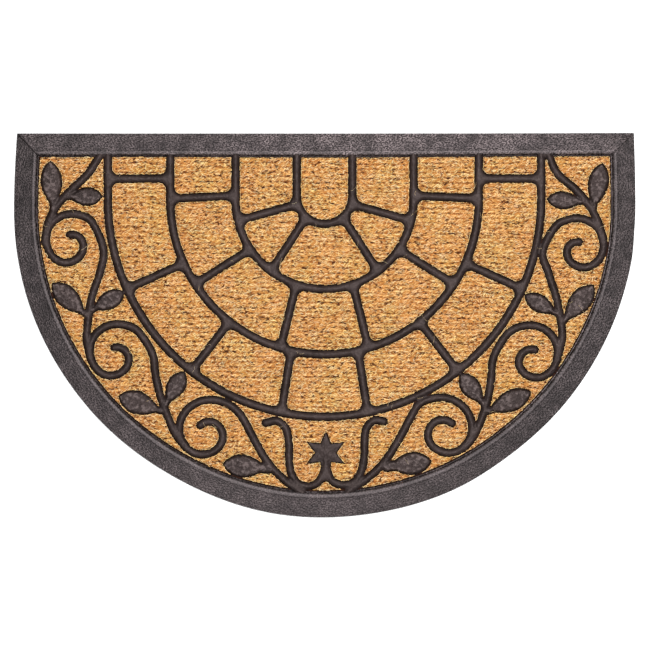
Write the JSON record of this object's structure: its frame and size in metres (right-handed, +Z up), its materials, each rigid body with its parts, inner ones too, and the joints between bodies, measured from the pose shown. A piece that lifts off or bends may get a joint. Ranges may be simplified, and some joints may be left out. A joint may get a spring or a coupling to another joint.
{
  "type": "coir doormat",
  "caption": "Half-round doormat: a woven coir panel held in a moulded rubber base with a bevelled border and a raised tracery of paving stones, scrolls and leaves.",
  "frame": {"origin": "centre of the bounding box on the flat underside", "axes": "+Z up from the floor, +X along the straight edge to the right, +Y towards the straight edge"},
  "size_m": [0.75, 0.463, 0.0095],
  "materials": {
    "rubber": "matt moulded rubber with a fine pebble grain",
    "coir": "woven natural coconut fibre"
  },
  "bodies": {
    "root": {"rubber_moulding": "rubber", "coir_panel": "coir"}
  },
  "joints": []
}
